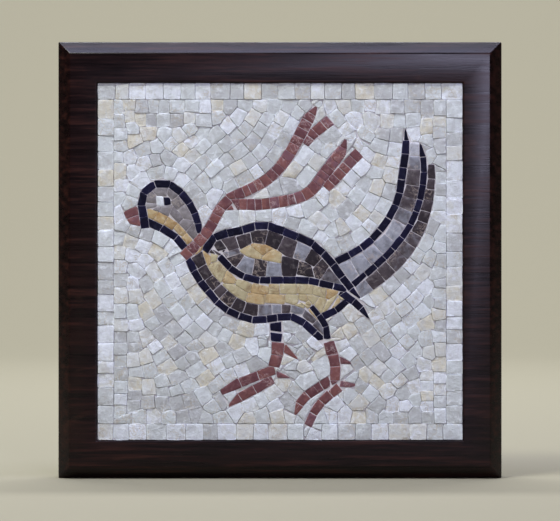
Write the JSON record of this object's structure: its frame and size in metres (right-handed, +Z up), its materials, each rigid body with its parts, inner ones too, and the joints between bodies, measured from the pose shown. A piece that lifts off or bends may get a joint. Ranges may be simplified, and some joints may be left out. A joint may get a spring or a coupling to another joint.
{
  "type": "mosaic wall panel",
  "caption": "Square wall panel of hand-cut stone mosaic, a bird with ribbons at its neck on a white ground, set in a bevelled dark wood board.",
  "frame": {"origin": "centre of the board's flat back face, where it lies against the wall", "axes": "+Z up, +X to the right as the picture is looked at, the picture faces -Y and the back faces +Y"},
  "size_m": [0.245, 0.02, 0.241],
  "materials": {
    "dark_wood": "dark stain under satin varnish",
    "lime_mortar": "matt, pale, slightly rough",
    "white_marble": "hand-split, dull, off-white with grey, pink and yellow stones among it",
    "black_stone": "hand-split, dull, near-black with a blue cast",
    "brown_stone": "hand-split, dull, dark brown mixed with warm grey",
    "grey_stone": "hand-split, dull, mottled warm grey",
    "ochre_stone": "hand-split, dull, mottled yellow ochre",
    "red_stone": "hand-split, dull, brick to wine red"
  },
  "bodies": {
    "root": {"wooden_board": "dark_wood", "mortar_bed": "lime_mortar", "ground_stones": "white_marble", "border_row_top": "white_marble", "border_row_bottom": "white_marble", "border_row_left": "white_marble", "border_row_right": "white_marble", "eye_white": "white_marble", "head_outline": "black_stone", "throat_outline": "black_stone", "wing_top_outline": "black_stone", "wing_bottom_outline": "black_stone", "wing_tip_stroke": "black_stone", "thigh_stroke": "black_stone", "rump_stroke": "black_stone", "belly_outline": "black_stone", "tail_inner_line": "black_stone", "tail_middle_line": "black_stone", "left_thigh": "black_stone", "pupil": "black_stone", "belly_row": "brown_stone", "wing_patch": "brown_stone", "tail_inner_band": "brown_stone", "tail_outer_band": "brown_stone", "head_patch": "grey_stone", "throat_band": "ochre_stone", "wing_lens": "ochre_stone", "belly_band": "ochre_stone", "neck_ribbon": "red_stone", "upper_ribbon": "red_stone", "upper_ribbon_fork": "red_stone", "lower_ribbon": "red_stone", "lower_ribbon_fork": "red_stone", "upper_beak": "red_stone", "lower_beak": "red_stone", "left_leg": "red_stone", "left_spur": "red_stone", "left_upper_toe": "red_stone", "left_lower_toe": "red_stone", "left_back_toe": "red_stone", "right_leg": "red_stone", "right_spur": "red_stone", "right_upper_toe": "red_stone", "right_lower_toe": "red_stone", "right_back_toe": "red_stone"}
  },
  "joints": []
}
